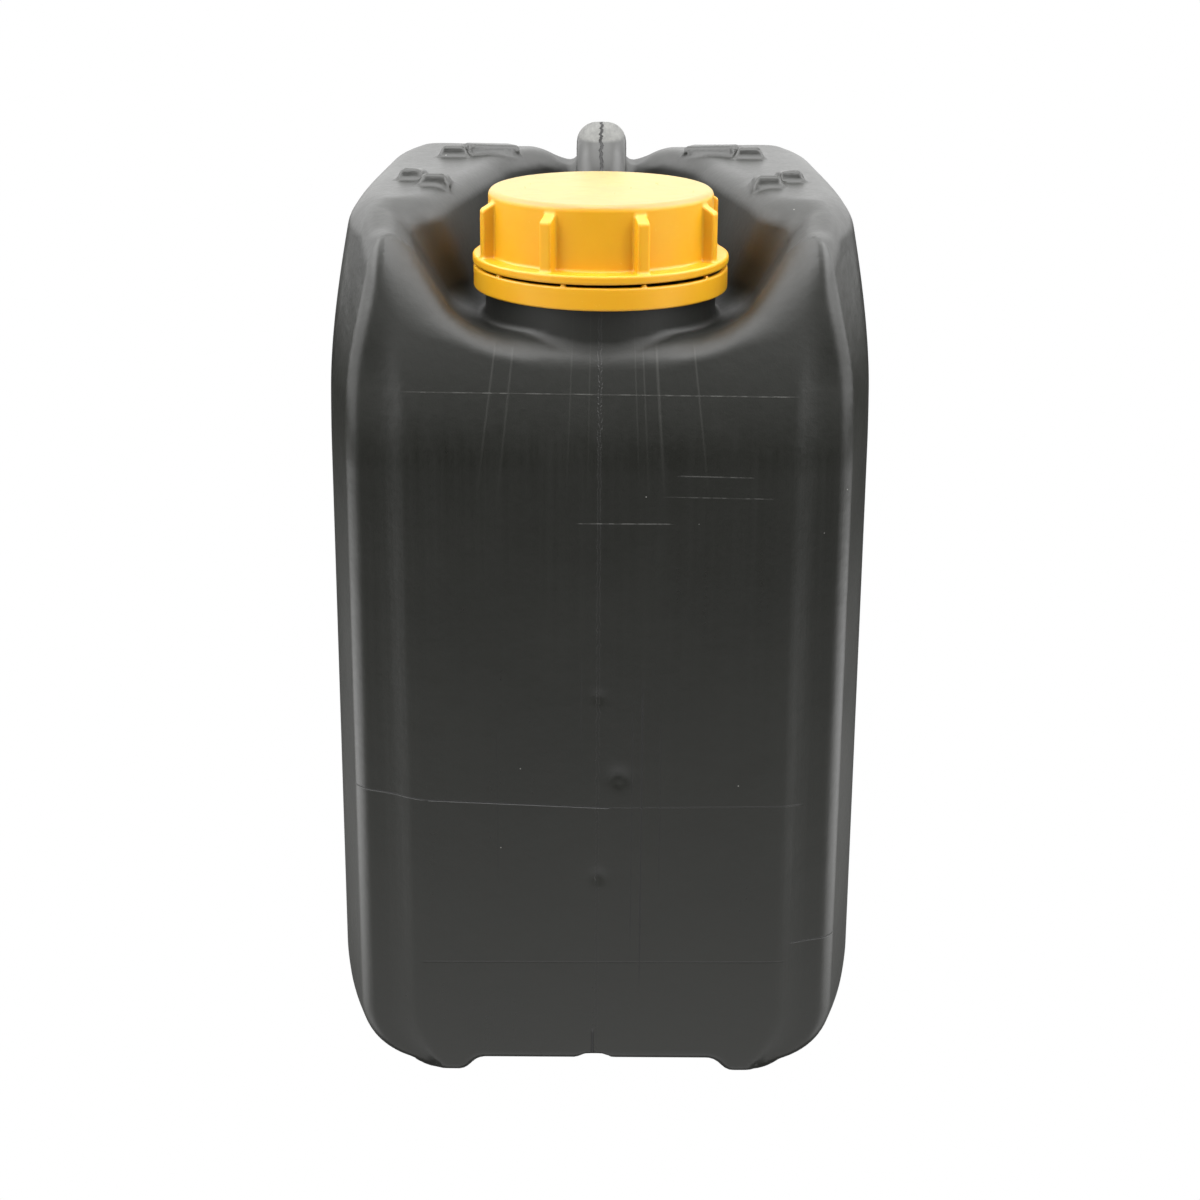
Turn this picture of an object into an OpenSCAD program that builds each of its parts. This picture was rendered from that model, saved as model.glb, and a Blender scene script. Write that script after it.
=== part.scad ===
// Stackable jerry can of about six litres with a 61 mm screw cap.
// The origin is the centre of the footprint on the surface that the feet rest on.
// The neck is at the front (-Y), the handle runs from front to back, and +Z is up.

/* [Can body] */
// Width across the side walls
body_w = 157; // [147:1:165]
// Depth from the front panel to the back panel
body_d = 186; // [180:1:200]
// Height of the flat top of the shoulders
shoulder_z = 258; // [252:1:270]
// Height of the underside above the feet
foot_h = 4.5; // [3:0.5:6]
// Wall thickness of the blow moulded shell
wall = 1.5; // [1.2:0.1:2.4]
// Half width of the raised front and back panels
panel_half = 54; // [48:1:58]
// Depth of the flute between a panel and the corner ridge
flute_depth = 2; // [1:0.5:3]
// Radius of the bottom corners seen from the front
bottom_corner_r = 29; // [22:1:34]

/* [Handle] */
// Width of the handle
handle_w = 15.4; // [14:0.2:18]
// Height of the highest point of the handle
handle_top_z = 271.6; // [269:0.2:276]
// Thickness of the handle's bar
bar_t = 14; // [12:0.5:16]
// Slope of the bar, down towards the back
bar_slope = 11; // [8:1:13]

/* [Neck] */
// Distance from the front panel to the neck's axis
neck_setback = 42; // [40:1:46]
// Height of the rim that the cap seals on
rim_z = 258.6; // [258:0.2:260]
// Radius of the neck's bore
bore_r = 24.5; // [22:0.5:25.5]
// Radius of the crest of the neck's thread
thread_r = 30; // [29.8:0.1:30.2]
// Pitch of the thread
pitch = 6; // [5:0.5:6]
// Turns of full thread on the neck
neck_turns = 1.75; // [1.25:0.25:2]

/* [Cap] */
// Radius of the cap's skirt
skirt_r = 31.9; // [31.8:0.1:32.6]
// Radius to the outside of the grip ribs
rib_r = 35.4; // [34:0.1:35.8]
// Number of grip ribs
rib_count = 8; // [6:1:12]
// Width of a grip rib
rib_w = 3.8; // [3:0.1:6]
// Radius of the cap's flange
flange_r = 36.5; // [36.2:0.1:37]
// Thickness of the cap's flange
flange_t = 2.6; // [2:0.1:3.5]
// Thickness of the cap's top
cap_top_t = 2.1; // [1.8:0.1:2.4]
// Turn of the ribs, counted from the front
rib_phase = 19.5; // [0:0.5:44.5]

/* [Tamper ring] */
// Outer radius of the tamper ring
ring_r = 36.3; // [36.1:0.1:36.5]
// Height of the tamper ring
ring_h = 6.3; // [5.5:0.1:6.5]
// Number of bridges between the ring and the flange
bridge_count = 10; // [6:1:14]

/* [Hidden] */
$fn = 96;
hull_fn = 32;
eps = 0.01;

// Shell
lean_start_z = shoulder_z - 53;
lean = 6;
shoulder_side_r = 10;
shoulder_end_r = 27;
underside_r = 5;
foot_x = 44.5;
ridge_x = body_w / 2 - 9;
ridge_r = 3.5;
bevel_len = 22;
side_corner_r = 12;
flute_slope = 7;
side_half = body_d / 2 - flute_depth - bevel_len;

// Recess around the neck and under the handle
neck_y = neck_setback - body_d / 2;
recess_floor_z = shoulder_z - 32;
recess_floor_r = 38;
recess_top_r = 49;
channel_end_y = neck_y + 78;
channel_floor_r = 22;
channel_top_r = 33;
notch_z = recess_floor_z - 0.5;
notch_floor_half = 33;
notch_knee = [46, recess_floor_z + 12];
notch_top_half = 58;
back_notch_z = shoulder_z - 6;
back_notch_half = 12.5;
back_notch_slope = 5;

// Handle
handle_front_y = neck_y + 40;
post_t = 15;
bar_len = 85.5;
handle_bend_r = 24;
crown_len = 28;
handle_wall = 2;

// Neck
thread_root_r = thread_r - 1.6;
thread_top_z = rim_z - 2.5;
neck_thread_z = thread_top_z - pitch * (neck_turns + 0.35);
collar_r = 33;
bead_r = 34.1;
collar_top_z = recess_floor_z + 14.2;
throat_r = 28.5;

// Cap, ring and gasket
fit_gap = 0.04;
gasket_t = 1.5;
gasket_r = 29.3;
cap_inner_z = rim_z + gasket_t + 2 * fit_gap;
cap_top_z = cap_inner_z + cap_top_t;
flange_z = recess_floor_z + 15.5;
cap_root_r = thread_r + 0.45;
cap_crest_r = thread_root_r + 0.45;
cap_edge_r = 1.9;
rib_top_drop = 2;
ring_z = recess_floor_z + 8.6;
ring_t = 1.7;
lip_r = collar_r + 0.5;
bridge_w = 1.2;

// Point on a circle of radius r at angle a
function polar(r, a) = [r * cos(a), r * sin(a)];

// The point, and the list, mirrored left to right or front to back and listed in reverse
function flip_x(p) = [for (i = [len(p) - 1 : -1 : 0]) [-p[i][0], p[i][1]]];
function flip_y(p) = [for (i = [len(p) - 1 : -1 : 0]) [p[i][0], -p[i][1]]];

// Unit vector from point a to point b
function toward(a, b) = (b - a) / norm(b - a);

// Corner q between points a and b, rounded to radius r with a number of steps
function round_corner(a, q, b, r, steps) =
    let (to_a = toward(q, a))
    let (to_b = toward(q, b))
    let (half = acos(to_a * to_b) / 2)
    let (centre = q + (to_a + to_b) / norm(to_a + to_b) * r / sin(half))
    let (start = q + to_a * r / tan(half) - centre)
    let (end = q + to_b * r / tan(half) - centre)
    let (sweep = (180 - 2 * half) * sign(start[0] * end[1] - start[1] * end[0]))
    let (from = atan2(start[1], start[0]))
    [for (k = [0 : steps]) centre + polar(r, from + sweep * k / steps)];

// Outline p with corner i rounded to radius r[i]; a radius of 0 keeps the corner sharp
function rounded(p, r) =
    let (n = len(p))
    [
        for (i = [0 : n - 1])
            each (r[i] == 0 ? [p[i]] :
                round_corner(p[(i + n - 1) % n], p[i], p[(i + 1) % n], r[i], arc_steps(r[i])))
    ];

// Number of flats that stand for a quarter round of radius r
function arc_steps(r) = r < 5 ? 3 : r < 15 ? 5 : 8;

// Right half of the front edge of the can seen from above, from the panel to the side
function plan_quarter(inset) =
    let (half_d = body_d / 2 - inset)
    let (panel = panel_half - inset / 2)
    let (flute_y = half_d - flute_depth)
    [
        [panel, half_d],
        [panel + flute_slope, flute_y],
        [ridge_x - inset, flute_y],
        [body_w / 2 - inset, side_half]
    ];

// Seen from above: panels, flutes, ridges and bevelled corners
module plan_outline(inset) {
    quarter = plan_quarter(inset);
    half = concat(quarter, flip_y(quarter));
    quarter_r = [0, 0, ridge_r, side_corner_r];
    half_r = concat(quarter_r, [for (i = [3 : -1 : 0]) quarter_r[i]]);
    polygon(rounded(concat(half, flip_x(half)), concat(half_r, half_r)));
}

// Seen from the front: upright sides that lean in at the shoulders
module front_outline(inset) {
    half_w = body_w / 2 - inset;
    side = [
        [half_w - lean, shoulder_z - inset],
        [half_w, lean_start_z],
        [half_w, foot_h + inset]
    ];
    side_r = [shoulder_side_r - inset, 0, bottom_corner_r - inset];
    polygon(rounded(
        concat(side, flip_x(side)),
        concat(side_r, [side_r[2], side_r[1], side_r[0]])
    ));
}

// Seen from the side: upright ends with rounded shoulders
module side_outline(inset) {
    half_d = body_d / 2 - inset;
    end = [[half_d, shoulder_z - inset], [half_d, foot_h + inset]];
    end_r = [shoulder_end_r - inset, underside_r - inset];
    polygon(rounded(concat(end, flip_x(end)), concat(end_r, [end_r[1], end_r[0]])));
}

// The can before the recess, moved in by inset on every side
module envelope(inset) {
    intersection() {
        linear_extrude(shoulder_z + 1)
            plan_outline(inset);
        rotate([90, 0, 0])
            linear_extrude(body_d + 2, center = true)
                front_outline(inset);
        rotate([90, 0, 90])
            linear_extrude(body_w + 2, center = true)
                side_outline(inset);
    }
}

// A ring of the recess wall: radius floor_r at the floor and top_r at the shoulders
module recess_end(y, floor_r, top_r, grow) {
    translate([0, y, recess_floor_z - grow])
        cylinder(
            r1 = floor_r + grow, r2 = top_r + grow,
            h = shoulder_z - recess_floor_z + 2 * grow + eps
        );
}

// The recess around the neck and the handle, its walls moved out by grow
module recess(grow) {
    hull($fn = hull_fn) {
        recess_end(neck_y, recess_floor_r, recess_top_r, grow);
        recess_end(channel_end_y, channel_floor_r, channel_top_r, grow);
    }
    hull($fn = hull_fn) {
        recess_end(neck_y, recess_floor_r, recess_top_r, grow);
        translate([0, -body_d / 2 - 1, 0])
            rotate([90, 0, 0])
                linear_extrude(1)
                    front_notch_outline(grow);
    }
    translate([0, body_d, 0])
        rotate([90, 0, 0])
            linear_extrude(body_d - channel_end_y)
                back_notch_outline(grow);
}

// The gap in the shoulders in front of the neck, seen from the front
module front_notch_outline(grow) {
    side = [
        [notch_top_half + grow, shoulder_z + 1],
        [notch_top_half + grow, shoulder_z],
        [notch_knee[0] + grow, notch_knee[1]],
        [notch_floor_half + grow, notch_z - grow]
    ];
    polygon(concat(side, flip_x(side)));
}

// The dip in the shoulder behind the handle, seen from the back
module back_notch_outline(grow) {
    side = [
        [back_notch_half + back_notch_slope + grow, shoulder_z + 1],
        [back_notch_half + back_notch_slope + grow, shoulder_z],
        [back_notch_half + grow, back_notch_z - grow]
    ];
    polygon(concat(side, flip_x(side)));
}

// Outside of the handle seen from the side: an upright post and a bar that slopes back
module handle_side(inset) {
    front = handle_front_y + inset;
    back = handle_front_y + bar_len - inset;
    top = handle_top_z - inset;
    drop = (bar_len - crown_len) * tan(bar_slope);
    foot = recess_floor_z - 2 * wall;
    polygon(rounded(
        [
            [front, foot], [back, foot], [back, top - drop],
            [handle_front_y + crown_len, top], [front, top]
        ],
        [0, 0, 6, 20, handle_bend_r - inset]
    ));
}

// The hole for the fingers, seen from the side, its edges moved out by grow
module finger_hole(grow) {
    front = handle_front_y + post_t - grow;
    back = handle_front_y + bar_len - 20 + grow;
    top = handle_top_z - bar_t + grow;
    polygon(rounded(
        [
            [front, recess_floor_z - grow], [back, recess_floor_z - grow],
            [back, top - (back - front) * tan(bar_slope)], [front, top]
        ],
        [4, 4, 4, 6]
    ));
}

// The handle, its faces moved in by inset
module handle(inset) {
    half_w = handle_w / 2 - inset;
    top = handle_top_z - inset;
    front = handle_front_y + inset;
    round_r = half_w - 1;
    intersection() {
        rotate([90, 0, 90])
            linear_extrude(2 * half_w, center = true)
                difference() {
                    handle_side(inset);
                    finger_hole(inset);
                }
        rotate([90, 0, 0])
            linear_extrude(2 * body_d, center = true)
                polygon(rounded(
                    [[half_w, top], [half_w, 0], [-half_w, 0], [-half_w, top]],
                    [round_r, 0, 0, round_r]
                ));
        linear_extrude(handle_top_z)
            polygon(rounded(
                [[half_w, front], [half_w, body_d], [-half_w, body_d], [-half_w, front]],
                [round_r, 0, 0, round_r]
            ));
    }
}

// Helical rib about the Z axis, with its root inside root_r and its crest at crest_r.
// The first and last eighth of a turn run out into the root.
module thread(root_r, crest_r, turns, root_w, crest_w) {
    steps = 48;
    run_out = 1 / 8;
    count = ceil(steps * turns);
    sink = root_r < crest_r ? -0.6 : 0.6;
    function fade(t) = min(1, t / run_out, (turns - t) / run_out);
    function section(i) =
        let (t = turns * i / count)
        let (r = root_r + (crest_r - root_r) * max(fade(t), 0.02))
        let (base = root_r + sink)
        let (z = pitch * t)
        let (a = 360 * t)
        [
            [base * cos(a), base * sin(a), z - root_w / 2],
            [r * cos(a), r * sin(a), z - crest_w / 2],
            [r * cos(a), r * sin(a), z + crest_w / 2],
            [base * cos(a), base * sin(a), z + root_w / 2]
        ];
    points = [for (i = [0 : count]) each section(i)];
    outward = root_r < crest_r;
    sides = [
        for (i = [0 : count - 1], k = [0 : 3])
            let (m = (k + 1) % 4)
            each [
                [4 * i + k, 4 * i + m, 4 * i + 4 + k],
                [4 * i + m, 4 * i + 4 + m, 4 * i + 4 + k]
            ]
    ];
    last = 4 * count;
    ends = [[0, 2, 1], [0, 3, 2], [last, last + 1, last + 2], [last, last + 2, last + 3]];
    faces = concat(sides, ends);
    polyhedron(points, outward ? faces : [for (f = faces) [f[0], f[2], f[1]]]);
}

// Outside of the neck: collar, snap bead for the tamper ring, and thread cylinder
module neck_outside() {
    translate([0, neck_y, 0]) {
        translate([0, 0, recess_floor_z - 2 * wall])
            cylinder(r = collar_r, h = collar_top_z - recess_floor_z + 2 * wall - 2);
        translate([0, 0, collar_top_z - 2])
            cylinder(r1 = bead_r, r2 = thread_root_r + 0.6, h = 2);
        translate([0, 0, collar_top_z - 3])
            cylinder(r = bead_r, h = 1 + eps);
        translate([0, 0, collar_top_z - 2])
            cylinder(r = thread_root_r, h = rim_z - collar_top_z + 2);
        translate([0, 0, neck_thread_z])
            thread(thread_root_r, thread_r, neck_turns, 2.9, 1.3);
    }
}

// Stacking lugs and the two pads on each side of the underside
module lugs() {
    for (s = [-1, 1]) {
        translate([s * 50, neck_y + 28, shoulder_z])
            lug(8, 13);
        translate([s * 56.5, neck_y + 39, shoulder_z])
            lug(7.5, 13);
        translate([s * 47, neck_y + 87, shoulder_z])
            lug(8, 13);
        translate([s * 43, neck_y + 93, shoulder_z])
            rotate(s * 58)
                translate([0, 2, 0])
                    lug(8, 17);
    }
}

// A low block with a sloping front edge, its front at the origin
module lug(width, length) {
    rise = 3;
    translate([0, length, 0])
        rotate([90, 0, 0])
            linear_extrude(length)
                polygon([
                    [-width / 2, -1], [width / 2, -1], [width / 2, 0],
                    [width / 2 - 1.5, rise], [-width / 2 + 1.5, rise], [-width / 2, 0]
                ]);
}

// Two rails under each side of the can
module feet() {
    rail_len = body_d - 12;
    for (s = [-1, 1])
        translate([s * foot_x, rail_len / 2, 0])
            rotate([90, 0, 0])
                linear_extrude(rail_len)
                    polygon(rounded(
                        [[9, foot_h + 3], [7.5, 0], [-7.5, 0], [-9, foot_h + 3]],
                        [0, 1.5, 1.5, 0]
                    ));
}

// One blow moulded shell with its handle, neck, lugs and feet
module can_body() {
    color([0.13, 0.135, 0.13])
        difference() {
            union() {
                difference() {
                    envelope(0);
                    recess(0);
                }
                handle(0);
                neck_outside();
                lugs();
                feet();
            }
            difference() {
                envelope(wall);
                recess(wall);
            }
            handle(handle_wall);
            translate([0, neck_y, recess_floor_z - 3 * wall]) {
                cylinder(r = bore_r, h = rim_z - recess_floor_z + 4 * wall);
                cylinder(r = throat_r, h = collar_top_z - recess_floor_z - wall);
            }
        }
}

// Skirt, top and flange of the cap, as the outline of a turned solid
module cap_outline() {
    difference() {
        union() {
            square([skirt_r - cap_edge_r, cap_top_z]);
            square([skirt_r, cap_top_z - cap_edge_r]);
            translate([skirt_r - cap_edge_r, cap_top_z - cap_edge_r])
                circle(r = cap_edge_r);
            translate([0, flange_z])
                square([flange_r, flange_t]);
        }
        translate([-flange_r, -1])
            square([2 * flange_r, flange_z + 1]);
        translate([0, -1])
            square([cap_root_r, cap_inner_z + 1]);
        translate([-flange_r, -1])
            square([flange_r, cap_top_z + 2]);
    }
}

// A grip rib with a sloping top, at the front of the skirt
module grip_rib() {
    top = cap_top_z - cap_edge_r - 0.7;
    rotate([90, 0, 90])
        linear_extrude(rib_w, center = true)
            polygon([
                [-rib_r, flange_z + flange_t - 0.5], [-skirt_r + 1, flange_z + flange_t - 0.5],
                [-skirt_r + 1, top], [-skirt_r, top], [-rib_r, top - rib_top_drop]
            ]);
}

// The cap: a skirt with grip ribs, a flange and an internal thread
module screw_cap() {
    color([0.98, 0.70, 0.10])
        translate([0, neck_y, 0]) {
            rotate_extrude()
                cap_outline();
            for (i = [0 : rib_count - 1])
                rotate(rib_phase + i * 360 / rib_count)
                    grip_rib();
            translate([0, 0, neck_thread_z + pitch / 2])
                thread(cap_root_r, cap_crest_r, neck_turns - 0.25, 2.4, 1.1);
        }
}

// The soft liner disc between the cap and the neck's rim
module sealing_gasket() {
    color([0.93, 0.93, 0.90])
        translate([0, neck_y, rim_z + fit_gap])
            cylinder(r = gasket_r, h = gasket_t);
}

// The tamper ring, with a lip that snaps under the neck's bead and broken bridges on top
module tamper_ring() {
    bridge_h = flange_z - ring_z - ring_h - fit_gap;
    color([0.98, 0.70, 0.10])
        translate([0, neck_y, ring_z]) {
            rotate_extrude()
                polygon([
                    [ring_r - ring_t, ring_h], [ring_r, ring_h], [ring_r, 0],
                    [ring_r - ring_t, 0], [lip_r, 1.2], [lip_r, 1.8], [ring_r - ring_t, 2.6]
                ]);
            for (i = [0 : bridge_count - 1])
                rotate(rib_phase + i * 360 / bridge_count)
                    translate([0, -ring_r + ring_t / 2, ring_h - 0.5 + bridge_h / 2 + 0.25])
                        cube([bridge_w, ring_t - 0.6, bridge_h + 0.5], center = true);
        }
}

can_body();
screw_cap();
sealing_gasket();
tamper_ring();
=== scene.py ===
"""Looks of the jerry can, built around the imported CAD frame.

Each piece is described by a field: a function of x, y and z in millimetres that is negative inside the piece,
positive outside it and zero on its surface. surface_of() turns a field into a closed mesh.
"""
import math

import bpy
import numpy as np
from mathutils import Euler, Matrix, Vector


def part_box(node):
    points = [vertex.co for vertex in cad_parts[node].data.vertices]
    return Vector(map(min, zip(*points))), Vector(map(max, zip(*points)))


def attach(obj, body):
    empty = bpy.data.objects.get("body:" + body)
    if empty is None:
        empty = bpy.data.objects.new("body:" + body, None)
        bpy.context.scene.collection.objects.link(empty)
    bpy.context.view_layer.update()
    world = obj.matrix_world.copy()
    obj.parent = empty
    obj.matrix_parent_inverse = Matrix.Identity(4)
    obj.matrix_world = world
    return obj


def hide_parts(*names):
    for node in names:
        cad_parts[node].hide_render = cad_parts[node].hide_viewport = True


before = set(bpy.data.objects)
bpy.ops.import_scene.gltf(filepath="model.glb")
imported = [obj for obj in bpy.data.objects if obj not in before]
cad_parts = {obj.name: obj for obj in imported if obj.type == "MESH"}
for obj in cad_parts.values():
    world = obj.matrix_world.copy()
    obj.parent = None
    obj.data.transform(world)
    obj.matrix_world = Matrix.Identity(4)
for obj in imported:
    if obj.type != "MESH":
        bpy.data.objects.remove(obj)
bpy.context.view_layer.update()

MM = 0.001

# ---------------------------------------------------------------- sizes, in millimetres, from the CAD frame

can_low, can_high = (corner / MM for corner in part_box("can_body"))
cap_low, cap_high = (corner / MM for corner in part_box("screw_cap"))
ring_low, ring_high = (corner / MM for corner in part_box("tamper_ring"))
gasket_low, gasket_high = (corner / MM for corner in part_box("sealing_gasket"))

HALF_W = can_high.x
HALF_D = can_high.y
HANDLE_TOP = can_high.z
NECK_Y = (cap_low.y + cap_high.y) / 2

# Can body: a panel with a flute and a ridge on each side, and a bevel from the ridge to the side wall
SHOULDER_Z = HANDLE_TOP - 13.6
UNDER_Z = 4.2
WALL = 4
PANEL_HALF = 55
FLUTE_DEPTH = 1.9
FLUTE_SLOPE = 9.0
FLUTE_FADE = 22
RIDGE_X = HALF_W - 8.3
BEVEL = math.radians(18)
BEVEL_EASE = 2.5

# The sides come in a little from the feet up, and more from LEAN_START to the top, most of all at the back
TAPER = 0.013
LEAN_START = SHOULDER_Z - 53
LEAN_SPAN = 50
LEAN = 0.06
BACK_LEAN = 0.05

# The front leans back towards the top
SET_BACK = 26
SET_BACK_START = LEAN_START - 15
SET_BACK_SPAN = 65
SET_BACK_EASE = 0.35

# Edges of the top
CORNER_R = 9
FRONT_CORNER_R = 4.5
FRONT_TOP_R = 4
BACK_TOP_R = 33

# Underside and the two foot rails
BOTTOM_R = 28
RIDGE_BOTTOM_R = 20
SIDE_DROP = 2.2
FOOT_X = 45.4
FOOT_HALF_W = 6.8
FOOT_HALF_H = 12
FOOT_R = 3.2
PINCH_X = -0.6
PINCH_HALF_W = 4.6

# Recess around the neck
FLOOR_Z = SHOULDER_Z - 32
BOWL_R = 38
CHANNEL_R = 22
CHANNEL_END = NECK_Y + 78
WALL_SLOPE = math.radians(19)
LIP_R = 8
TOWER_EDGE_R = 13
BOWL_EDGE_R = 8
BACK_EDGE_R = 6
NOTCH_HALF = 33
NOTCH_KNEE = 12
NOTCH_KNEE_X = NOTCH_HALF + 13
RECESS_FLOOR_R = 7
LIP_RISE = 1.5
BACK_NOTCH_Z = SHOULDER_Z - 6
BACK_NOTCH_HALF = 13

# Neck
COLLAR_R = 33
COLLAR_TOP = FLOOR_Z + 13
BORE_R = 24.5
THREAD_ROOT_R = 28.4
THREAD_R = 30
RIM_Z = gasket_low.z - 0.04
PITCH = 6
THREAD_START_Z = RIM_Z - 15.1
THREAD_TURNS = 1.75

# Handle
HANDLE_HALF_W = 7.7
HANDLE_FRONT = NECK_Y + 40
HANDLE_BEND_R = 30
HANDLE_SIDE_R = 6.2
POST_T = 14
GRIP_R = 6
CROWN_END = HANDLE_FRONT + 28
CROWN_EASE = 8
BAR_SLOPE = math.radians(11)
GRIP_END = HANDLE_FRONT + 65

# Stacking lugs
LUG_H = 3.8
LUG_SIDE_SLOPE = 0.45
LUG_FRONT_SLOPE = 0.6

# Cap
CAP_TOP = cap_high.z
SKIRT_R = 31.9
CAP_EDGE_R = 1.9
RIB_R = 35.4
RIB_HALF_W = 1.75
RIB_COUNT = 8
RIB_PHASE = math.radians(19.5)
RIB_DROP = 2.0
FLANGE_Z = cap_low.z
FLANGE_T = 2.6
FLANGE_R = cap_high.x

# Tamper ring
RING_R = FLANGE_R - 0.2
RING_Z = FLANGE_Z - 6.9
RING_H = 6.3
RING_T = 1.7
BRIDGE_COUNT = 10


# ---------------------------------------------------------------- ways to combine fields

def smoothstep(t):
    """0 below 0, 1 above 1, and a smooth rise between."""
    t = np.clip(t, 0, 1)
    return t * t * (3 - 2 * t)


def mix(a, b, t):
    """From a to b as t goes from 0 to 1."""
    return a + (b - a) * t


def soft_max(a, b, width):
    """The common part of two fields, with a soft edge where they meet at a shallow angle."""
    h = np.maximum(width - np.abs(a - b), 0) / width
    return np.maximum(a, b) + h * h * width / 4


def soft_min(a, b, width):
    """Both fields together, with a soft edge where they meet at a shallow angle."""
    return -soft_max(-a, -b, width)


def cut(a, b, radius):
    """The common part of two fields, their shared edge rounded to a radius."""
    over_a = np.maximum(a + radius, 0)
    over_b = np.maximum(b + radius, 0)
    return np.minimum(-radius, np.maximum(a, b)) + np.hypot(over_a, over_b)


def join(a, b, radius):
    """Both fields together, with a fillet of a radius between them."""
    return -cut(-a, -b, radius)


def rounded_box(u, v, half_u, half_v, radius):
    """A rectangle with rounded corners, in two directions."""
    du = np.abs(u) - half_u + radius
    dv = np.abs(v) - half_v + radius
    outside = np.hypot(np.maximum(du, 0), np.maximum(dv, 0))
    return outside + np.minimum(np.maximum(du, dv), 0) - radius


def sector(azimuth, count, phase):
    """The azimuth counted from the nearest of a number of evenly spaced places."""
    spacing = 2 * math.pi / count
    return np.mod(azimuth - phase + spacing / 2, spacing) - spacing / 2


def around_neck(x, y):
    """Distance from the neck's axis, and azimuth counted from the front."""
    return np.hypot(x, y - NECK_Y), np.arctan2(x, NECK_Y - y)


# ---------------------------------------------------------------- the can's field

def narrowing(y, z):
    """The share by which the sides come in at each height."""
    taper = TAPER * np.clip(z / LEAN_START, 0, 1)
    up = (z - LEAN_START) / LEAN_SPAN
    lean = LEAN * np.clip(up, 0, 1.15) ** 2
    back_lean = BACK_LEAN * smoothstep(up) * smoothstep((y + 20) / 100)
    return taper + lean + back_lean


def envelope(x, y, z):
    """The can before its recess: panels, flutes, ridges and bevelled corners."""
    straight = np.abs(x) / (1 - narrowing(y, z))
    # Flutes and ridges curve inwards with the bottom corner, and the middle of the panel stays straight
    drop = np.clip(UNDER_Z - 2 + RIDGE_BOTTOM_R - z, 0, 0.96 * RIDGE_BOTTOM_R)
    pull_in = RIDGE_BOTTOM_R - np.sqrt(RIDGE_BOTTOM_R ** 2 - drop ** 2)
    across = straight + pull_in * smoothstep((np.abs(x) - 34) / 24)
    risen = np.maximum(z - SET_BACK_START, 0) / SET_BACK_SPAN
    set_back = SET_BACK * (np.hypot(risen, SET_BACK_EASE) - SET_BACK_EASE)
    along = np.abs(y) + np.where(y < 0, set_back, 0)

    # A flute beside the panel, which fades out where the front starts to lean back
    fade = 1 - smoothstep((z - LEAN_START - 8) / FLUTE_FADE)
    from_panel = across - PANEL_HALF - 3 * smoothstep((z - LEAN_START - 2) / 26)
    eased = (from_panel + np.hypot(from_panel, 1.6)) / 2
    flute = FLUTE_DEPTH * fade * (1 - (1 - np.clip(eased / FLUTE_SLOPE, 0, 1)) ** 2)
    end = along - HALF_D + flute

    side = straight - HALF_W
    # The bevel runs from the ridge to the side wall
    ridge_y = HALF_D - FLUTE_DEPTH
    ridge_x = RIDGE_X - 3.3 * smoothstep((z - LEAN_START - 2) / 45)
    bevel = (across - ridge_x) * math.cos(BEVEL) + (along - ridge_y) * math.sin(BEVEL)
    under = UNDER_Z - SIDE_DROP * smoothstep((np.abs(x) - FOOT_X - 0.6) / 8) - z
    trunk = soft_max(bevel, cut(side, under, BOTTOM_R), BEVEL_EASE)
    rail = rounded_box(np.abs(x) - FOOT_X, z - FOOT_HALF_H, FOOT_HALF_W, FOOT_HALF_H, FOOT_R)
    walls = cut(join(trunk, rail, 5), end, 3.5)

    # The top edge is sharper above the panel at the front, and well rounded at the back
    front_end = smoothstep((along - HALF_D - side - 10) / 18)
    back_end = smoothstep((along - HALF_D - side) / 30 + 0.5)
    corner_r = mix(CORNER_R, FRONT_CORNER_R, smoothstep((-y - HALF_D + 30) / 18))
    front_r = mix(corner_r, FRONT_TOP_R, front_end)
    back_r = mix(corner_r, BACK_TOP_R, back_end)
    return cut(walls, z - SHOULDER_Z, np.where(y < 0, front_r, back_r))


def recess(x, y, z):
    """The bowl around the neck, the channel under the handle and the notch at the front."""
    across = np.abs(x)
    height = z - FLOOR_Z
    length = CHANNEL_END - NECK_Y
    t = np.clip((y - NECK_Y) / length, 0, 1)
    radius = mix(BOWL_R, CHANNEL_R, t) + height * math.tan(WALL_SLOPE)
    bowl = (np.hypot(x, y - NECK_Y - t * length) - radius) * math.cos(WALL_SLOPE)
    shallow = (across - NOTCH_HALF - height * 1.08) * 0.68
    steep = (across - NOTCH_KNEE_X - (height - NOTCH_KNEE) * 0.6) * 0.86
    notch = soft_max(soft_max(shallow, steep, 5), y - NECK_Y, 6)
    walls = soft_min(bowl, notch, 14)
    rise = LIP_RISE * smoothstep((across - 6) / 20) * smoothstep((NECK_Y - 33 - y) / 6)
    return cut(walls, rise - height, RECESS_FLOOR_R)


def back_notch(x, y, z):
    """The dip in the shoulder behind the handle."""
    side = (np.abs(x) - BACK_NOTCH_HALF - (z - BACK_NOTCH_Z)) * math.cos(math.radians(45))
    dip = cut(side, BACK_NOTCH_Z - z, 3)
    return np.maximum(dip, CHANNEL_END + 10 - y)


def handle(x, y, z):
    """A post, a flat crown and a bar that slopes back into the shoulder."""
    past_crown = np.maximum(y - CROWN_END, 0)
    top = HANDLE_TOP - math.tan(BAR_SLOPE) * past_crown ** 2 / (past_crown + CROWN_EASE)
    outer = cut(HANDLE_FRONT - y, z - top, HANDLE_BEND_R)
    grip = cut(HANDLE_FRONT + POST_T - y, z - top + POST_T, GRIP_R)
    grip = cut(grip, y - GRIP_END, GRIP_R)
    side = cut(outer, -grip, 4.5)
    side = np.maximum(side, y - HALF_D + 12)
    bar = cut(side, np.abs(x) - HANDLE_HALF_W, HANDLE_SIDE_R)
    return np.maximum(bar, FLOOR_Z - 6 - z)


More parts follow.
